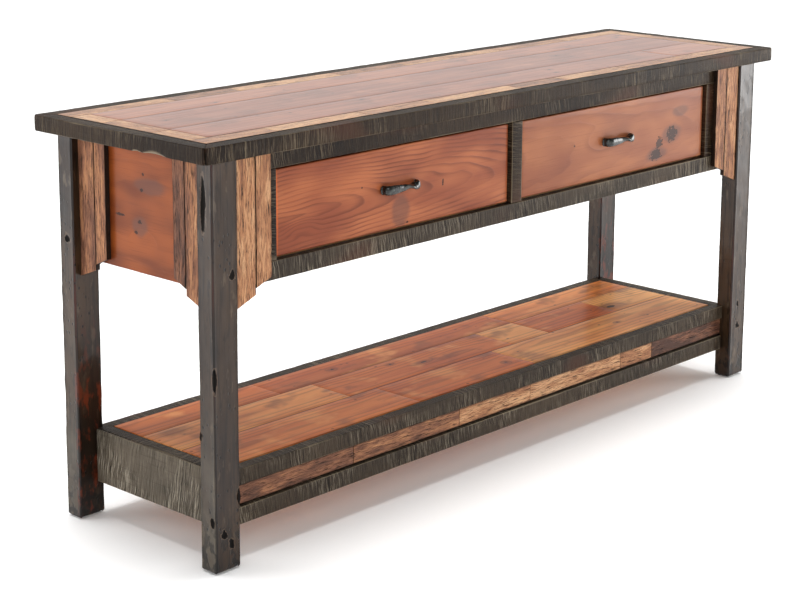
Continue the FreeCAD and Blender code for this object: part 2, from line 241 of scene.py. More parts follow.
def dark_leg_wood():
    """Planed posts under dark stain and lacquer, rubbed red at the arrises, with nicks and knots."""
    finish = Finish("dark_leg_wood")
    u, v, w, seed = finish.grain()
    x, y, z = finish.place()
    u = u + seed * PATTERN_SHIFT
    arris = finish.number("arris")
    dent = finish.number("dent")
    sway = (finish.noise(u * 6.0, v * 20.0, w * 20.0) - 0.5) * 0.012
    streak = finish.noise(u * 6.0, (v + sway) * 130.0, (w + sway) * 130.0, 3.0, 0.6)
    cloud = finish.noise(u * 5.0, v * 14.0, w * 14.0, 2.0)
    smudge = finish.noise(u * 16.0, v * 45.0, w * 45.0 + 6.0, 3.0, 0.6)
    tool = finish.noise(u * 30.0, v * 25.0, w * 25.0, 2.0)
    colour = finish.mix(cloud.rise(0.3, 0.75), paint(38, 24, 15), paint(68, 50, 34))
    colour = finish.mix(streak.rise(0.5, 0.66) * 0.65, colour, paint(20, 12, 8))
    colour = finish.mix(smudge.rise(0.56, 0.68) * 0.6, colour, paint(22, 13, 9))
    colour = finish.mix((1.0 - smudge.rise(0.32, 0.42)) * 0.4, colour, paint(104, 88, 70))
    rub = (arris * 0.8 + cloud * 0.9).rise(0.95, 1.25)
    edge = (arris + (streak - 0.5) * 0.5).rise(0.35, 0.7)
    colour = finish.mix(edge * 0.8, colour, paint(18, 8, 5))
    colour = finish.mix(rub * 0.6, colour, paint(84, 28, 13))
    # Painted reflection: the left legs' end faces are lightened low down, where their gloss would mirror the
    # bright floor.
    painted_floor_reflection = (1.0 - z.rise(0.10, 0.50)) * (1.0 - x.rise(-0.869, -0.866))
    colour = finish.mix(painted_floor_reflection * 0.3, colour, paint(150, 142, 124))
    # Painted shade: the back legs' front faces, which face in under the top, are darkened low down, with
    # painted red highlights in patches on that dark.
    painted_red_highlights = finish.noise(u * 20.0, v * 50.0, w * 50.0 + 3.0, 3.0, 0.6).rise(0.50, 0.64)
    painted_shade_low_back = (1.0 - z.rise(0.20, 0.46)) * y.rise(0.1, 0.15) * (1.0 - y.rise(0.186, 0.192))
    colour = finish.mix(painted_shade_low_back * 0.7, colour, paint(14, 8, 5))
    colour = finish.mix(painted_shade_low_back * painted_red_highlights * 0.75, colour, paint(108, 42, 18))
    nick = finish.cells(u * 60.0, v * 95.0, w * 95.0)
    area = finish.noise(u * 7.0, v * 9.0, w * 9.0 + 4.0).rise(0.48, 0.56)
    nicks = (1.0 - nick.rise(0.10, 0.26)) * area
    colour = finish.mix(nicks * 0.9, colour, paint(8, 5, 4))
    scuff = finish.noise(x * 60.0, y * 60.0, z * 40.0, 3.0)
    foot = (1.0 - z.rise(0.03, 0.16)) * scuff.rise(0.46, 0.58)
    colour = finish.mix(foot * 0.8, colour, paint(12, 8, 6))
    splinter = finish.noise(x * 130.0, y * 130.0, z * 50.0, 3.0, 0.6)
    torn = dent + (splinter - 0.5) * 1.1 * dent.rise(0.0, 0.1)
    rim = torn.rise(0.03, 0.12) * (1.0 - torn.rise(0.14, 0.26))
    colour = finish.mix(rim * 0.4, colour, paint(120, 96, 76))
    pit = torn.rise(0.16, 0.3)
    colour = finish.mix(pit * 0.9, colour, paint(7, 5, 4))
    height = streak * 0.3 + tool * 0.5 - nicks * 0.9 - foot * 0.3
    return finish.done(colour, 0.26 + streak * 0.2 + pit * 0.4, height, 0.0016, coat=0.42 - pit * 0.42,
                       coat_rough=0.16, specular=0.12)


def barn_siding(name, shades, wear, gloss):
    """Weathered offcuts: warm boards with short dark grain; cut and painted sides show dark."""
    finish = Finish(name)
    u, v, w, seed = finish.grain()
    u = u + seed * PATTERN_SHIFT
    tone = finish.number("tone")
    arris = finish.number("arris")
    cut = finish.number("cut")
    sway = (finish.noise(u * 14.0, v * 40.0, w * 40.0) - 0.5) * 0.010
    fibre = finish.noise(u * 42.0, (v + sway) * 640.0, w * 640.0, 3.0, 0.7)
    crack = finish.noise(u * 24.0, (v + sway) * 330.0, w * 330.0 + seed, 3.0, 0.65)
    streak = finish.noise(u * 5.0, (v + sway) * 120.0, w * 120.0 + 3.0, 2.0)
    patch = finish.noise(u * 15.0, v * 50.0, w * 50.0, 3.0)
    shade = tone + (patch - 0.5) * 1.2 + (streak - 0.5) * 0.7 * wear + (fibre - 0.5) * 1.1 * wear
    colour = finish.ramp(shade, [(i / 3, step) for i, step in enumerate(shades)])
    colour = finish.mix((1.0 - fibre.rise(0.38, 0.48)) * 0.7 * wear, colour, paint(72, 42, 26))
    colour = finish.mix((1.0 - crack.rise(0.34, 0.41)) * wear * 0.95, colour, paint(36, 20, 12))
    colour = finish.mix(arris.rise(0.5, 1.0) * 0.6, colour, paint(44, 30, 22))
    colour = finish.mix(cut.rise(0.5, 0.8) * 0.95, colour, paint(14, 10, 8))
    height = fibre * 0.45 + crack.rise(0.28, 0.46) * 0.7
    return finish.done(colour, 0.45 + fibre * 0.2, height, 0.0018, coat=gloss, coat_rough=0.2,
                       specular=0.12)


def plank_wood(name, stops, knots, gloss, sheen_rough):
    """Lacquered reclaimed planks, coloured by each board's tone; knots are (x, y, length, width)."""
    finish = Finish(name)
    u, v, w, seed = finish.grain()
    x, y, z = finish.place()
    u = u + seed * PATTERN_SHIFT
    tone = finish.number("tone")
    arris = finish.number("arris")
    sway = (finish.noise(u * 2.5, v * 6.0, seed * 5.0, 2.0) - 0.5) * 0.035
    halo = finish.spots(x, y, [(a, b, 3.5 * c, 3.5 * d) for a, b, c, d in knots])
    side = v + sway + (seed - 0.5) * 0.04
    deep = 0.03 + sway * 0.6 + halo * 0.015
    phase = ((side * side + deep * deep).root() / 0.011
             + finish.noise(u * 6.0, v * 14.0, seed * 3.0, 1.0) * 0.5).fraction()
    rings = phase.rise(0.4, 0.9) * (1.0 - phase.rise(0.9, 1.0))
    fibre = finish.noise(u * 12.0, v * 420.0, w * 420.0, 3.0)
    cloud = finish.noise(u * 5.0, v * 26.0, w * 26.0, 2.0)
    blotch = finish.noise(u * 9.0, v * 12.0, 4.0 + seed, 3.0)
    colour = finish.ramp(tone, stops)
    colour = finish.mix(cloud.rise(0.38, 0.68) * 0.5, colour, paint(206, 158, 124), "MULTIPLY")
    colour = finish.mix(blotch.rise(0.53, 0.68) * 0.5, colour, paint(104, 54, 32))
    colour = finish.mix((1.0 - blotch.rise(0.30, 0.44)) * 0.45, colour, stops[-1][1])
    colour = finish.mix(rings * 0.32, colour, paint(104, 50, 28))
    colour = finish.mix(fibre.rise(0.54, 0.72) * 0.2, colour, paint(92, 42, 26))
    speck = finish.cells(u * 24.0, v * 40.0, seed * 7.0)
    specks = (1.0 - speck.rise(0.05, 0.14)) * blotch.rise(0.46, 0.56)
    colour = finish.mix(specks * 0.8, colour, paint(44, 22, 16))
    colour = finish.mix(halo * 0.55, colour, paint(96, 46, 30))
    edge_noise = finish.noise(x * 90.0, y * 140.0, 1.0)
    ragged = (finish.spots(x, y, knots) + (edge_noise - 0.5) * 0.8).rise(0.3, 0.6)
    colour = finish.mix(ragged * 0.92, colour, paint(24, 15, 13))
    colour = finish.mix(arris.rise(0.78, 1.0) * 0.8, colour, paint(50, 24, 16))
    height = fibre * 0.3 + rings * 0.3 - ragged * 0.8
    return finish.done(colour, 0.34 + fibre * 0.12, height, 0.0004, coat=gloss, coat_rough=sheen_rough,
                       specular=0.12)


def red_pine(name, shades, ring, knots, stains, swirls, across_axis, painted_highlights=()):
    """A wide pine board; ring is (spacing, depth, slope, wobble, strength).

    Knots, stains, swirls and painted highlights are (along, up, length, height) on the table's own axes.
    """
    light, mid, late = shades
    spacing, depth, slope, wobble, strength = ring
    finish = Finish(name)
    u, v, w, seed = finish.grain()
    place = finish.place()
    along, up = place[across_axis], place[Z]
    arris = finish.number("arris")
    sway = (finish.noise(u * 3.0, v * 7.0, seed * 5.0, 2.0) - 0.5) * wobble
    side = v + sway + 0.015
    deep = depth + u * slope + sway * 0.5
    radius = (side * side + deep * deep).root() + finish.spots(along, up, swirls) * 0.012
    phase = (radius / spacing + finish.noise(u * 14.0, v * 22.0, 1.0) * 0.5).fraction()
    rings = phase.rise(0.4, 0.9) * (1.0 - phase.rise(0.9, 1.0))
    fibre = finish.noise(u * 14.0, v * 480.0, w * 480.0, 3.0)
    cloud = finish.noise(u * 4.0, v * 9.0, 3.0, 2.0)
    fade = finish.noise(u * 7.0, v * 14.0, 8.0, 1.0)
    colour = finish.mix(cloud.rise(0.36, 0.64), light, mid)
    colour = finish.mix(rings * (fade.rise(0.36, 0.62) * 0.75 + 0.25) * strength, colour, late)
    # Painted highlight: bright orange strips laid on the board for light catching its end.
    colour = finish.mix(finish.spots(along, up, painted_highlights) * 0.7, colour, paint(236, 112, 44))
    colour = finish.mix(fibre.rise(0.52, 0.75) * 0.3, colour, late)
    blot = finish.noise(along * 30.0, up * 45.0, 5.0, 3.0)
    stain = (finish.spots(along, up, stains) + (blot - 0.5) * 0.7).rise(0.15, 0.8)
    colour = finish.mix(stain * 0.6, colour, paint(100, 66, 56))
    ragged = finish.noise(along * 130.0, up * 190.0, 2.0, 3.0)
    near_knot = finish.spots(along, up, knots)
    heart = (near_knot + (ragged - 0.5) * 2.6 * near_knot.rise(0.0, 0.3)).rise(0.35, 0.6)
    colour = finish.mix(heart * 0.85, colour, paint(40, 22, 17))
    colour = finish.mix(arris.rise(0.8, 1.0) * 0.4, colour, late)
    height = fibre * 0.3 + rings * 0.4 - heart * 0.8
    return finish.done(colour, 0.34 + fibre * 0.1, height, 0.0005, coat=0.14, coat_rough=0.16,
                       specular=0.10)


def inner_wood():
    """Plain unfinished boards inside and under the table."""
    finish = Finish("inner_wood")
    x, y, z = finish.place()
    fibre = finish.noise(x * 40.0, y * 9.0, z * 160.0, 3.0)
    cloud = finish.noise(x * 6.0, y * 3.0, z * 12.0, 2.0)
    colour = finish.mix(cloud.rise(0.3, 0.7), paint(190, 150, 102), paint(172, 130, 84))
    colour = finish.mix(fibre.rise(0.5, 0.7) * 0.45, colour, paint(128, 88, 54))
    return finish.done(colour, 0.5 + fibre * 0.15, fibre, 0.0004, coat=0.1)


def forged_iron():
    finish = Finish("forged_iron")
    x, y, z = finish.place()
    hammer = finish.noise(x * 220.0, y * 220.0, z * 220.0, 2.0)
    scale = finish.noise(x * 70.0, y * 70.0, z * 70.0, 3.0)
    colour = finish.mix(scale.rise(0.4, 0.7), paint(16, 17, 16), paint(62, 66, 63))
    return finish.done(colour, 0.16 + scale * 0.25, hammer, 0.0006, coat=0.6, coat_rough=0.08,
                       metallic=0.7)


def plated_steel():
    finish = Finish("plated_steel")
    x, y, z = finish.place()
    brush = finish.noise(x * 300.0, y * 8.0, z * 300.0, 2.0)
    spangle = finish.noise(x * 40.0, y * 40.0, z * 40.0, 2.0)
    colour = finish.mix(spangle.rise(0.4, 0.6), paint(170, 172, 174), paint(196, 198, 200))
    return finish.done(colour, 0.25 + brush * 0.2, brush, 0.0001, metallic=1.0)


def nylon():
    finish = Finish("nylon")
    x, y, z = finish.place()
    scuff = finish.noise(x * 120.0, y * 120.0, z * 120.0, 3.0)
    colour = finish.mix(scuff.rise(0.4, 0.7), paint(214, 210, 198), paint(190, 184, 170))
    return finish.done(colour, 0.4 + scuff * 0.2, scuff, 0.0002)


# ---------------------------------------------------------------- board making

def deselect():
    bpy.ops.object.select_all(action="DESELECT")


MOSTLY_ALONG = 0.75     # the share of an edge's length that has to lie along the axis


def choose_edges(obj, axis):
    """Selects the edges that run mostly along an axis and returns the longest one's length."""
    mesh = obj.data
    mesh.vertices.foreach_set("select", [False] * len(mesh.vertices))
    mesh.polygons.foreach_set("select", [False] * len(mesh.polygons))
    longest = 0.0
    for edge in mesh.edges:
        run = mesh.vertices[edge.vertices[1]].co - mesh.vertices[edge.vertices[0]].co
        edge.select = abs(run[axis]) > MOSTLY_ALONG * run.length
        if edge.select:
            longest = max(longest, abs(run[axis]))
    return longest


def divide(obj, cell):
    """Cuts the box into cells of about that size along all three axes."""
    bpy.ops.object.mode_set(mode="EDIT")
    bpy.ops.mesh.select_mode(type="EDGE")
    bpy.ops.object.mode_set(mode="OBJECT")
    for axis in (X, Y, Z):
        cuts = int(choose_edges(obj, axis) / cell)
        if cuts:
            bpy.ops.object.mode_set(mode="EDIT")
            bpy.ops.mesh.subdivide(number_cuts=cuts)
            bpy.ops.object.mode_set(mode="OBJECT")


def saw_off(point, normal):
    """Cuts away what lies beyond a plane and closes the cut."""
    bpy.ops.object.mode_set(mode="EDIT")
    bpy.ops.mesh.select_all(action="SELECT")
    bpy.ops.mesh.bisect(plane_co=point, plane_no=normal, use_fill=True, clear_outer=True)
    bpy.ops.object.mode_set(mode="OBJECT")


def turn_faces_outward():
    bpy.ops.object.mode_set(mode="EDIT")
    bpy.ops.mesh.select_all(action="SELECT")
    bpy.ops.mesh.normals_make_consistent(inside=False)
    bpy.ops.object.mode_set(mode="OBJECT")


def modify(obj, kind, **settings):
    modifier = obj.modifiers.new(kind.lower(), kind)
    for key, setting in settings.items():
        setattr(modifier, key, setting)
    bpy.ops.object.modifier_apply(modifier=modifier.name)


def wave_texture(name, scale):
    texture = bpy.data.textures.new(name, "CLOUDS")
    texture.noise_scale = scale
    return texture


SLOW_WAVE = wave_texture("slow_wave", 0.09)
QUICK_WAVE = wave_texture("quick_wave", 0.022)
ONLY_INWARD = 1.0
EASE_STEPS = 3
EASED_ANGLE = math.radians(35)
SMOOTH_ANGLE = math.radians(40)
ARRIS_REACH = 0.009     # how far from an arris its wear shows
DARK_DENT = 0.0025      # dents at least this deep are stained dark


def store(obj, name, numbers):
    if name not in obj.data.attributes:
        obj.data.attributes.new(name, "FLOAT", "POINT")
    obj.data.attributes[name].data.foreach_set("value", numbers)


def mark_grain(obj, low, high, along, seed, tone):
    """Stores each vertex's place in the board, its nearness to an arris and how far it faces sideways."""
    others = [axis for axis in (X, Y, Z) if axis != along]
    size = high - low
    across, through = sorted(others, key=lambda axis: -size[axis])
    middle = (low + high) / 2
    grain, arris, cut = [], [], []
    for vertex in obj.data.vertices:
        offset = vertex.co - middle
        grain += [offset[along], offset[across], offset[through]]
        gaps = [size[axis] / 2 - abs(offset[axis]) for axis in others]
        arris.append(1.0 - min(1.0, max(0.0, max(gaps)) / ARRIS_REACH))
        cut.append(1.0 - abs(vertex.normal[through]))
    count = len(arris)
    obj.data.attributes.new("grain", "FLOAT_VECTOR", "POINT").data.foreach_set("vector", grain)
    store(obj, "arris", arris)
    store(obj, "cut", cut)
    store(obj, "seed", [seed] * count)
    store(obj, "tone", [tone] * count)
    store(obj, "dent", [0.0] * count)


def press_dents(obj, dents):
    """Presses soft oval hollows into a board; each is (place, reach on each axis, depth)."""
    deepest = max(depth for place, reach, depth in dents)
    group = obj.vertex_groups.new(name="dents")
    marks = []
    for vertex in obj.data.vertices:
        pressed, mark = 0.0, 0.0
        for place, reach, depth in dents:
            far = sum(((vertex.co[i] - place[i]) / reach[i]) ** 2 for i in range(3))
            if far < 1.0:
                weight = (1.0 - far) ** 2
                pressed = max(pressed, weight * depth / deepest)
                if depth >= DARK_DENT:
                    mark = max(mark, 1.0 - far)
        group.add([vertex.index], pressed, "REPLACE")
        marks.append(mark)
    modify(obj, "DISPLACE", vertex_group="dents", strength=-deepest, mid_level=0.0)
    store(obj, "dent", marks)


def board(name, low, high, along, ease=0.0015, cell=0.012, cuts=(), wave=0.0006, ripple=0.0004,
          tone=0.5):
    """A sawn board between two corners, its grain along one axis, sawn off at the given planes."""
    low, high = Vector(low), Vector(high)
    deselect()
    bpy.ops.mesh.primitive_cube_add(size=1.0, location=(low + high) / 2)
    obj = bpy.context.object
    obj.name = name
    obj.scale = high - low
    bpy.ops.object.transform_apply(location=True, rotation=True, scale=True)
    for point, normal in cuts:
        saw_off(point, normal)
    divide(obj, cell)
    turn_faces_outward()
    modify(obj, "BEVEL", width=ease, segments=EASE_STEPS, limit_method="ANGLE", angle_limit=EASED_ANGLE)
    modify(obj, "DISPLACE", texture=SLOW_WAVE, strength=wave, mid_level=ONLY_INWARD)
    modify(obj, "DISPLACE", texture=QUICK_WAVE, strength=ripple, mid_level=ONLY_INWARD)
    mark_grain(obj, low, high, along, random.Random(name).random(), tone)
    bpy.ops.object.shade_smooth_by_angle(angle=SMOOTH_ANGLE)
    return obj


def stand_for(piece, body, material, slot, *cad_nodes):
    """Gives a piece its material and body, in place of its CAD nodes."""
    piece.data.materials.clear()
    piece.data.materials.append(material)
    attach(piece, body)
    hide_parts(*cad_nodes)


def merge(name, parts):
    """Joins boards into one piece."""
    deselect()
    for part in parts:
        part.select_set(True)
    bpy.context.view_layer.objects.active = parts[0]
    if len(parts) > 1:
        bpy.ops.object.join()
    parts[0].name = name
    return parts[0]


def joints_of(node, axis):
    """Where the boards of a node meet along an axis, from its own corners."""
    places = sorted({round(vertex.co[axis], 4) for vertex in nodes[node].data.vertices})
    return list(zip(places[:-1], places[1:]))


# ---------------------------------------------------------------- finishes

DARK_SAWN = dark_sawn_wood()
DARK_LEG = dark_leg_wood()
SIDING = barn_siding("barn_siding", (paint(82, 56, 46), paint(132, 88, 66), paint(178, 124, 86),
                                     paint(212, 164, 122)), 1.0, 0.06)
INLAY = barn_siding("inlay_siding", (paint(84, 54, 40), paint(138, 92, 64), paint(172, 120, 80),
                                     paint(206, 156, 110)), 0.7, 0.6)
TOP_PLANK = plank_wood("top_plank_wood",
                       [(0.0, paint(134, 76, 50)), (0.5, paint(152, 88, 57)), (1.0, paint(176, 108, 70))],
                       [(0.22, -0.13, 0.012, 0.006), (0.24, -0.095, 0.010, 0.008),
                        (-0.34, -0.08, 0.018, 0.008), (-0.22, -0.055, 0.014, 0.006),
                        (-0.57, 0.10, 0.014, 0.006), (0.80, 0.14, 0.03, 0.008),
                        (0.77, 0.12, 0.016, 0.008), (0.42, 0.03, 0.014, 0.008),
                        (-0.77, 0.015, 0.012, 0.006)],
                       0.85, 0.22)
SHELF_PLANK = plank_wood("shelf_plank_wood",
                         [(0.0, paint(126, 70, 38)), (0.35, paint(198, 106, 48)),
                          (0.65, paint(230, 128, 54)), (1.0, paint(255, 184, 110))],
                         [(0.61, -0.005, 0.045, 0.022), (0.51, -0.10, 0.012, 0.008),
                          (0.08, -0.117, 0.012, 0.010), (-0.225, 0.12, 0.014, 0.010),
                          (-0.11, 0.055, 0.012, 0.008), (-0.045, 0.015, 0.03, 0.010)],
                         0.10, 0.10)
LEFT_FRONT = red_pine("left_front_pine", (paint(178, 102, 63), paint(138, 69, 42), paint(92, 40, 25)),
                      (0.0082, 0.03, 0.09, 0.045, 0.6),
                      [(-0.46, 0.667, 0.008, 0.006), (-0.33, 0.578, 0.012, 0.008),
                       (-0.225, 0.645, 0.008, 0.024)],
                      [(-0.35, 0.605, 0.085, 0.10)], [(-0.62, 0.615, 0.12, 0.05)], X,
                      # The last list is a painted highlight: a bright strip down the drawer front's left
                      # end.
                      [(-0.689, 0.654, 0.016, 0.30)])
RIGHT_FRONT = red_pine("right_front_pine", (paint(168, 102, 64), paint(146, 83, 53), paint(104, 50, 33)),
                       (0.012, 0.16, 0.05, 0.05, 0.4),
                       [(0.568, 0.639, 0.06, 0.055), (0.507, 0.598, 0.07, 0.04),
                        (0.52, 0.625, 0.04, 0.04), (0.205, 0.659, 0.008, 0.008)],
                       [(0.568, 0.64, 0.12, 0.07), (0.51, 0.60, 0.12, 0.05), (0.6, 0.69, 0.1, 0.04)],
                       [(0.3, 0.66, 0.2, 0.08)], X)
END_PINE = red_pine("end_pine", (paint(154, 79, 33), paint(108, 50, 23), paint(84, 33, 17)),
                    (0.014, 0.2, 0.03, 0.04, 0.28),
                    [(0.069, 0.635, 0.036, 0.009), (0.005, 0.69, 0.014, 0.011),
                     (0.012, 0.628, 0.018, 0.013), (0.023, 0.607, 0.014, 0.011),
                     (0.0, 0.722, 0.011, 0.010)],
                    [(0.012, 0.62, 0.07, 0.06), (-0.02, 0.70, 0.14, 0.05)], [(0.0, 0.6, 0.1, 0.06)], Y)
INNER = inner_wood()
IRON = forged_iron()
STEEL = plated_steel()
NYLON = nylon()


# ---------------------------------------------------------------- top

FRAME_SIDES = (("front", -1, X), ("back", 1, X), ("left", -1, Y), ("right", 1, Y))
MITRE_LAP = 0.0016      # mitred boards run a little into each other, so that no joint gapes
CORNER_CUT = 0.005      # how far a frame's outer corners are cut back


def mitres(low, high, along, side):
    """The planes that cut each end's outer corner and its mitre; side is -1 or 1, across the board."""
    across = Y if along == X else X
    outer = high[across] if side > 0 else low[across]
    planes = []
    for end in (-1, 1):
        corner = Vector((0.0, 0.0, 0.0))
        corner[along] = high[along] if end > 0 else low[along]
        corner[across] = outer
        normal = Vector((0.0, 0.0, 0.0))
        normal[along] = end
        normal[across] = -side
        outward = Vector(normal)
        outward[across] = side
        planes.append((corner - outward.normalized() * CORNER_CUT, outward.normalized()))
        corner[along] += end * MITRE_LAP
        planes.append((corner, normal.normalized()))
    return planes


TOP_EASE = 0.005
SIDE_TONE = 0.38
CHIPS = ((-0.11, (0.014, 0.040, 0.009), 0.0045), (-0.06, (0.008, 0.016, 0.006), 0.003))


def top_edge(edge_name, side, along):
    """One dark board of the top's frame; the left one is chipped underneath."""
    node = "top_edge_" + edge_name
    low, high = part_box(node)
    piece = board(node + "_board", low, high, along, ease=TOP_EASE, cell=0.009 if along == X else 0.007,
                  cuts=mitres(low, high, along, side), wave=0.0012, ripple=0.0009,
                  tone=0.5 if along == X else SIDE_TONE)
    if edge_name == "left":
        press_dents(piece, [((low.x, y, low.z), reach, depth) for y, reach, depth in CHIPS])
    stand_for(piece, "table", DARK_SAWN, "dark_sawn_wood", node)


for frame_side in FRAME_SIDES:
    top_edge(*frame_side)


TIGHT_EASE = 0.0008
END_INLAY_TONES = (0.8, 0.6, 0.95)


def offcut_row(node, tones, material):
    """Short boards end to end, as a node's own joints give them."""
    low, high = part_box(node)
    parts = []
    for i, (start, end) in enumerate(joints_of(node, X)):
        parts.append(board("%s_%d" % (node, i), (start, low.y, low.z), (end, high.y, high.z), X,
                           ease=TIGHT_EASE, ripple=0.0005, tone=tones[i % len(tones)]))
    stand_for(merge(node + "_boards", parts), "table", material, "barn_siding", node)


offcut_row("top_inlay_front", (0.55, 0.9, 0.7, 1.0, 0.5, 0.85, 0.6, 0.75), INLAY)
offcut_row("top_inlay_back", (0.7, 0.35, 0.95, 0.5, 0.8, 0.6, 0.9), INLAY)


def end_inlay_boards():
    """The offcuts along the two ends of the top, which share a node."""
    low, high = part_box("top_inlay_ends")
    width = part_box("top_inlay_front")[1].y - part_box("top_inlay_front")[0].y
    parts = []
    for side in (-1, 1):
        for i, (start, end) in enumerate(joints_of("top_inlay_ends", Y)):
            inner, outer = sorted((side * high.x, side * (high.x - width)))
            parts.append(board("end_inlay_%d_%d" % (side, i), (inner, start, low.z), (outer, end, high.z), Y,
                               ease=TIGHT_EASE, tone=END_INLAY_TONES[i]))
    stand_for(merge("top_inlay_end_boards", parts), "table", INLAY, "barn_siding", "top_inlay_ends")


end_inlay_boards()


def plank_row(node, tones, material, slot):
    """One row of planks, jointed end to end where the node has joints."""
    low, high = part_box(node)
    parts = []
    for i, (start, end) in enumerate(joints_of(node, X)):
        parts.append(board("%s_%d" % (node, i), (start, low.y, low.z), (end, high.y, high.z), X,
                           ease=TIGHT_EASE, cell=0.02, wave=0.0003, ripple=0.0002, tone=tones[i]))
    stand_for(merge(node + "_boards", parts), "table", material, slot, node)


plank_row("top_plank_back", (0.75,), TOP_PLANK, "top_plank_wood")
plank_row("top_plank_middle", (0.3,), TOP_PLANK, "top_plank_wood")
plank_row("top_plank_front", (0.5, 0.8), TOP_PLANK, "top_plank_wood")


# ---------------------------------------------------------------- legs

LEG_ROUND = 0.0065
LEG_NICKS = 7
NICK_LOWEST = 0.03
NICK_HIGHEST_SHARE = 0.66
NICK_REACH = 0.009

leg_low, leg_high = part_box("leg_front_left")
leg_face = leg_low.y
KNOWN_DENTS = {
    # A long gouge on the end face, chips on the arris, a knot hole and a notch on the front.
    "leg_front_left": [((leg_low.x, leg_face + 0.026, 0.70), (0.01, 0.0075, 0.062), 0.004),
                       ((leg_low.x, leg_face, 0.375), (0.010, 0.009, 0.030), 0.0035),
                       ((leg_high.x - 0.014, leg_face, 0.565), (0.009, 0.01, 0.006), 0.003),
                       ((leg_high.x, leg_face, 0.14), (0.010, 0.013, 0.020), 0.005),
                       ((leg_low.x, leg_face + 0.010, 0.10), (0.01, 0.008, 0.010), 0.003),
                       ((leg_low.x, leg_face + 0.044, 0.26), (0.01, 0.008, 0.012), 0.003),
                       ((leg_low.x + 0.022, leg_face, 0.075), (0.008, 0.01, 0.007), 0.0028),
                       ((leg_low.x + 0.040, leg_face, 0.052), (0.007, 0.01, 0.010), 0.003)],
    "leg_back_left": [((leg_low.x, 0.20, 0.57), (0.010, 0.010, 0.009), 0.003),
                      ((leg_low.x, 0.19, 0.675), (0.008, 0.022, 0.004), 0.002)],
    "leg_front_right": [((0.835, leg_face, 0.185), (0.007, 0.008, 0.006), 0.0025),
                        ((0.838, leg_face, 0.13), (0.010, 0.008, 0.006), 0.003)],
    "leg_back_right": [((0.83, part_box("leg_back_right")[1].y, 0.4), (0.010, 0.008, 0.012), 0.003)]}


def leg_post(name):
    """A hand-worn post; its head runs a little up into the top so that no rounding shows there."""
    low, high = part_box(name)
    post = board(name + "_post", low, high + Vector((0, 0, LEG_ROUND)), Z, ease=LEG_ROUND, cell=0.004,
                 wave=0.0024, ripple=0.0009)
    chance = random.Random(name)
    dents = list(KNOWN_DENTS[name])
    for _ in range(LEG_NICKS):
        corner = (chance.choice((low.x, high.x)), chance.choice((low.y, high.y)),
                  chance.uniform(low.z + NICK_LOWEST, high.z * NICK_HIGHEST_SHARE))
        reach = (NICK_REACH, NICK_REACH, chance.uniform(0.010, 0.024))
        dents.append((corner, reach, chance.uniform(0.0008, 0.0020)))
    press_dents(post, dents)
    stand_for(post, "table", DARK_LEG, "dark_leg_wood", name)


for leg_name in KNOWN_DENTS:
    leg_post(leg_name)


# ---------------------------------------------------------------- apron

RAIL_TONES = {"apron_rail_top": 0.5, "apron_rail_bottom": 0.68, "shelf_rail_front": 0.68,
              "back_panel": 0.15, "shelf_rail_back": 0.15}


def plain_board(node, along, material, slot, body="table", **settings):
    """One board that fills its CAD node's box."""
    low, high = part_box(node)
    piece = board(node + "_board", low, high, along, **settings)
    stand_for(piece, body, material, slot, node)


for rail, rail_tone in RAIL_TONES.items():
    plain_board(rail, X, DARK_SAWN, "dark_sawn_wood", ease=0.0018, tone=rail_tone)
for stile in ("apron_stile_left", "apron_stile_centre", "apron_stile_right"):
    plain_board(stile, Z, DARK_SAWN, "dark_sawn_wood", ease=0.0012)
for panel in ("end_panel_left", "end_panel_right"):
    plain_board(panel, Y, END_PINE, "red_pine", wave=0.0004)


NARROWEST_WIDE_BOARD = 0.045
BELOW_TOP = 0.01
SAW_ALLOWANCE = 0.004


def bracket_boards(node, along_wall, leg_side, tones):
    """The wide and narrow boards beside a leg; leg_side is -1 or 1 along the wall."""
    low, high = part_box(node)
    outline = sorted({(round(vertex.co[along_wall], 4), round(vertex.co.z, 4))
                      for vertex in nodes[node].data.vertices}, key=lambda p: leg_side * -p[0])
    leg_end = outline[0][0]
    far_end = outline[-1][0]
    shoulder = min((place for place, height in outline if abs(place - leg_end) > NARROWEST_WIDE_BOARD),
                   key=lambda place: abs(place - leg_end))
    heights = {}
    for place, height in outline:
        if height < high.z - BELOW_TOP:
            heights.setdefault(place, []).append(height)
    parts = []
    for i, (near, far, h_near, h_far) in enumerate((
            (leg_end, shoulder, min(heights[leg_end]), min(heights[shoulder])),
            (shoulder, far_end, max(heights[shoulder]), min(heights[far_end])))):
        start, end = low.copy(), high.copy()
        start[along_wall], end[along_wall] = min(near, far), max(near, far)
        start.z = min(h_near, h_far) - SAW_ALLOWANCE
        point, other = Vector((0, 0, 0)), Vector((0, 0, 0))
        point[along_wall], other[along_wall] = near, far
        point.z, other.z = h_near, h_far
        run = other - point
        normal = Vector((0, 0, 0))
        normal[along_wall], normal.z = run.z, -run[along_wall]
        if normal.z > 0:
            normal.negate()
        parts.append(board("%s_%d" % (node, i), start, end, Z, ease=0.0012, cell=0.01,
                           cuts=[(point, normal.normalized())], wave=0.0012, ripple=0.0012, tone=tones[i]))
    stand_for(merge(node + "_boards", parts), "table", SIDING, "barn_siding", node)


bracket_boards("bracket_front_left", X, -1, (0.72, 0.62))
bracket_boards("bracket_front_right", X, 1, (0.62, 0.55))
bracket_boards("bracket_left_end_front", Y, -1, (0.42, 0.2))
bracket_boards("bracket_left_end_back", Y, 1, (0.34, 0.42))
bracket_boards("bracket_right_end_front", Y, -1, (0.6, 0.5))
bracket_boards("bracket_right_end_back", Y, 1, (0.55, 0.4))


# ---------------------------------------------------------------- drawers

for drawer_side, pine in (("left", LEFT_FRONT), ("right", RIGHT_FRONT)):
    plain_board(drawer_side + "_drawer_front", X, pine, "red_pine", body=drawer_side + "_drawer",
                ease=0.003, wave=0.0005, ripple=0.0004)


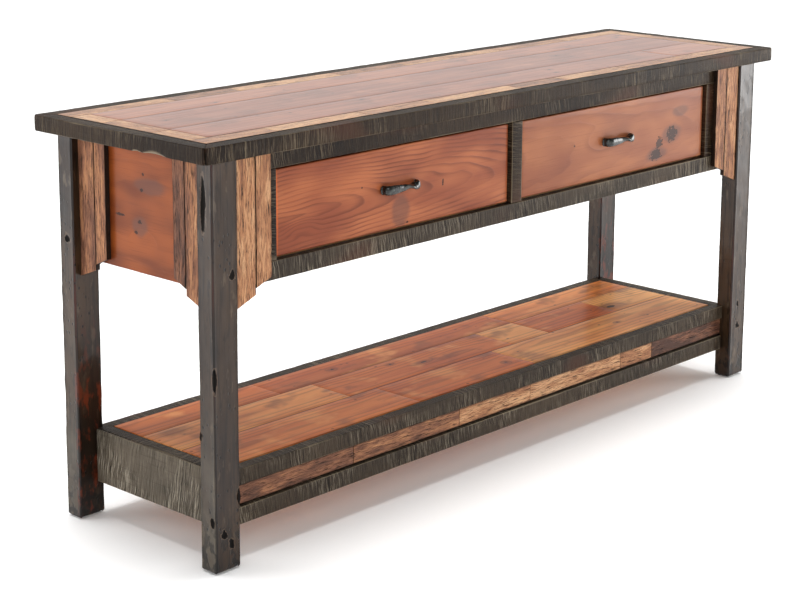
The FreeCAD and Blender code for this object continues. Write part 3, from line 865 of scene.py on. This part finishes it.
class Forging:
    """A bar drawn out ring by ring from a face that stays selected in edit mode."""

    def __init__(self, name, centre, width, height):
        deselect()
        bpy.ops.mesh.primitive_plane_add(size=1.0, location=centre, rotation=(math.pi / 2, 0, 0))
        self.obj = bpy.context.object
        self.obj.name = name
        self.obj.scale = (width, height, 1.0)
        bpy.ops.object.transform_apply(location=True, rotation=True, scale=True)
        self.centre = Vector(centre)
        bpy.ops.object.mode_set(mode="EDIT")
        bpy.ops.mesh.select_all(action="SELECT")

    def draw(self, step, scale=(1, 1, 1), twist=0.0, turn=0.0):
        """Extrudes by a step, then scales the new face, twists it about X and turns it about Z."""
        bpy.ops.mesh.extrude_region_move(TRANSFORM_OT_translate={"value": step})
        self.centre += Vector(step)
        bpy.ops.transform.resize(value=scale, center_override=self.centre)
        if twist:
            bpy.ops.transform.rotate(value=twist, orient_axis="X", center_override=self.centre)
        if turn:
            bpy.ops.transform.rotate(value=turn, orient_axis="Z", center_override=self.centre)

    def finish(self):
        bpy.ops.mesh.select_all(action="SELECT")
        bpy.ops.mesh.normals_make_consistent(inside=False)
        bpy.ops.object.mode_set(mode="OBJECT")
        modify(self.obj, "SUBSURF", levels=2, render_levels=2)
        modify(self.obj, "DISPLACE", texture=QUICK_WAVE, strength=0.001, mid_level=0.5)
        bpy.ops.object.shade_smooth()
        return self.obj


FOOT_WIDTH, FOOT_HEIGHT, FOOT_THICK = 0.017, 0.021, 0.003
BAR_HEIGHT, BAR_THICK = 0.021, 0.0105
BEND_STEPS = 3
BEND_SHARE = 0.6        # the bend's radius as a share of the standoff
BAR_STEPS = 14
FLARE = 0.0005          # how soon the flat foot narrows into the post


def neck_scale(share):
    """The bar is drawn in before its middle and swells again after it."""
    if 0.2 < share < 0.45:
        return 0.93
    if 0.55 < share < 0.8:
        return 1.05
    return 1.0


def forged_pull(node):
    """Flat foot, post, bend, a bar flat at first and twisted half a turn further on, and back."""
    low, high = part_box(node)
    standoff = high.y - low.y - BAR_THICK
    bend = standoff * BEND_SHARE
    quarter = math.pi / 2 / BEND_STEPS
    forging = Forging(node + "_forging", (low.x + FOOT_WIDTH / 2, high.y, (low.z + high.z) / 2),
                      FOOT_WIDTH, FOOT_HEIGHT)
    forging.draw((0, -FOOT_THICK, 0))
    forging.draw((0, -FLARE, 0), scale=(BAR_THICK / FOOT_WIDTH, 1, BAR_HEIGHT / FOOT_HEIGHT))
    forging.draw((0, -(standoff - bend - FOOT_THICK), 0))
    for i in range(BEND_STEPS):
        heading = quarter * (i + 0.5)
        reach = 2 * bend * math.sin(quarter / 2)
        forging.draw((reach * math.sin(heading), -reach * math.cos(heading), 0), turn=-quarter)
    run = high.x - low.x - FOOT_WIDTH - 2 * bend
    for i in range(BAR_STEPS):
        share = (i + 1) / BAR_STEPS
        neck = neck_scale(share)
        forging.draw((run / BAR_STEPS, 0, 0), scale=(1, neck, neck),
                     twist=-math.pi / (BAR_STEPS // 2) if share > 0.5 else 0.0)
    for i in range(BEND_STEPS):
        heading = quarter * (i + 0.5)
        reach = 2 * bend * math.sin(quarter / 2)
        forging.draw((reach * math.cos(heading), reach * math.sin(heading), 0), turn=-quarter)
    forging.draw((0, standoff - bend - FOOT_THICK, 0))
    forging.draw((0, FLARE, 0), scale=(FOOT_WIDTH / BAR_THICK, 1, FOOT_HEIGHT / BAR_HEIGHT))
    forging.draw((0, FOOT_THICK - FLARE, 0))
    return forging.finish()


left_pull = forged_pull("left_pull")
deselect()
left_pull.select_set(True)
bpy.context.view_layer.objects.active = left_pull
bpy.ops.object.duplicate()
right_pull = bpy.context.object
right_pull.name = "right_pull_forging"
bpy.ops.transform.translate(value=(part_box("right_pull")[0].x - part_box("left_pull")[0].x, 0, 0))
bpy.ops.object.transform_apply(location=True, rotation=True, scale=True)
stand_for(left_pull, "left_drawer", IRON, "forged_iron", "left_pull")
stand_for(right_pull, "right_drawer", IRON, "forged_iron", "right_pull")


# ---------------------------------------------------------------- shelf

SHELF_EDGE_TONE = 0.64


def shelf_edge(edge_name, side, along):
    """One dark board of the shelf's border; all four are made to the border's full outline."""
    node = "shelf_edge_" + edge_name
    low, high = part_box(node)
    if along == X:
        high.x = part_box("shelf_edge_right")[1].x
        low.x = -high.x
    else:
        high.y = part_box("shelf_edge_back")[1].y
        low.y = -high.y
    piece = board(node + "_board", low, high, along, ease=0.0025, cell=0.009,
                  cuts=mitres(low, high, along, side), wave=0.001, ripple=0.001, tone=SHELF_EDGE_TONE)
    stand_for(piece, "table", DARK_SAWN, "dark_sawn_wood", node)


for frame_side in FRAME_SIDES:
    shelf_edge(*frame_side)

plank_row("shelf_plank_back", (0.5, 0.4, 0.78), SHELF_PLANK, "shelf_plank_wood")
plank_row("shelf_plank_middle", (0.85, 0.55, 0.95, 0.6, 1.0), SHELF_PLANK, "shelf_plank_wood")
plank_row("shelf_plank_front", (0.7, 0.55, 0.95), SHELF_PLANK, "shelf_plank_wood")
offcut_row("shelf_inlay", (0.25, 0.45, 0.68, 0.8, 0.62, 0.1), SIDING)

END_RAIL_LIP = 0.005
END_RAIL_TONE = 1.1


def end_rail(node):
    """A tall thin face board with a thicker board behind it, under the shelf."""
    low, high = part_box(node)
    sign = 1 if low.x > 0 else -1
    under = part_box("shelf_edge_left")[0].z
    outer = sign * max(abs(low.x), abs(high.x))
    middle = outer - sign * END_RAIL_LIP
    inner = sign * min(abs(low.x), abs(high.x))
    parts = []
    for part, near, far, top in (("lip", outer, middle, high.z), ("rib", middle, inner, under)):
        start, end = (min(near, far), low.y, low.z), (max(near, far), high.y, top)
        parts.append(board(node + "_" + part, start, end, Y, cell=0.009, wave=0.0008, tone=END_RAIL_TONE))
    stand_for(merge(node + "_boards", parts), "table", DARK_SAWN, "dark_sawn_wood", node)


end_rail("shelf_end_rail_left")
end_rail("shelf_end_rail_right")


# ---------------------------------------------------------------- kept CAD nodes

for cad_name, cad_node in nodes.items():
    if cad_node.hide_render:
        continue
    kept_finish = INNER
    if cad_name.endswith(("slides", "screws")):
        kept_finish = STEEL
    elif cad_name == "foot_glides":
        kept_finish = NYLON
    cad_node.data.materials.clear()
    cad_node.data.materials.append(kept_finish)


# ---------------------------------------------------------------- studio

def add_light(name, place, aim, size, power):
    """A white softbox turned towards a point."""
    light = bpy.data.lights.new(name, "AREA")
    light.shape = "RECTANGLE"
    light.size, light.size_y = size
    light.energy = power
    lamp = bpy.data.objects.new(name, light)
    lamp.location = place
    lamp.rotation_euler = (Vector(aim) - Vector(place)).to_track_quat("-Z", "Y").to_euler()
    bpy.context.scene.collection.objects.link(lamp)


FLOOR_SIZE = 60.0
FLOOR_GLOW = 0.07
SUN_POWER = 3.0
SUN_SPREAD = math.radians(32)
SUN_DIRECTION = (-0.05, -0.05, -1.0)
DIM_WALL, BRIGHT_WALL = (0.16, 0.16, 0.16, 1.0), (0.85, 0.85, 0.84, 1.0)

deselect()
bpy.ops.mesh.primitive_plane_add(size=FLOOR_SIZE, location=(0.0, 0.0, 0.0))
floor = bpy.context.object
floor.name = "studio_floor"
floor_paint = Finish("studio_floor")
floor_paint.shader.inputs["Emission Color"].default_value = (1.0, 1.0, 1.0, 1.0)
floor_paint.shader.inputs["Emission Strength"].default_value = FLOOR_GLOW
floor.data.materials.append(floor_paint.done(paint(252, 252, 252), 0.8, specular=0.1))

sun_data = bpy.data.lights.new("overhead", "SUN")
sun_data.energy = SUN_POWER
sun_data.angle = SUN_SPREAD
sun = bpy.data.objects.new("overhead", sun_data)
sun.rotation_euler = Vector(SUN_DIRECTION).to_track_quat("-Z", "Y").to_euler()
bpy.context.scene.collection.objects.link(sun)
add_light("right_softbox", (3.6, -2.0, 0.9), (0, 0, 0.4), (1.8, 1.6), 70.0)
add_light("front_softbox", (-3.3, -3.4, 2.2), (0, 0, 0.3), (2.5, 2.0), 48.0)
add_light("back_left_softbox", (-3.0, 2.4, 1.1), (-0.4, 0, 0.5), (2.0, 1.6), 45.0)

world = bpy.data.worlds.new("studio")
world.use_nodes = True
sky = Shading(world.node_tree)
east, north = sky.split(sky.add("ShaderNodeTexCoord", {}, {}, 0))[:2]
away = (east * 0.7 + north * 0.7).rise(-0.3, 0.8)
room = sky.mix(away, DIM_WALL, BRIGHT_WALL)
sky.plug(world.node_tree.nodes["Background"].inputs["Color"], room)
bpy.context.scene.world = world
bpy.context.scene.view_settings.view_transform = "Standard"

# The camera stands at the left front, a little above the table, looking down along it.
CAMERA_PLACE = (-3.1308, -2.7912, 1.4631)
CAMERA_TURN = math.radians(47.03)
CAMERA_DIP = math.radians(11.25)
CAMERA_ROLL = math.radians(0.33)
FOCAL = 88.05
SENSOR_WIDTH = 36.0
FRAME_DROP = -0.179

camera_data = bpy.data.cameras.new("camera")
camera_data.lens = FOCAL
camera_data.sensor_width = SENSOR_WIDTH
camera_data.shift_y = FRAME_DROP
camera = bpy.data.objects.new("camera", camera_data)
camera.matrix_world = (Matrix.Translation(CAMERA_PLACE)
                       @ Matrix.Rotation(-CAMERA_TURN, 4, "Z")
                       @ Matrix.Rotation(math.pi / 2 - CAMERA_DIP, 4, "X")
                       @ Matrix.Rotation(CAMERA_ROLL, 4, "Z"))
bpy.context.scene.collection.objects.link(camera)
bpy.context.scene.camera = camera
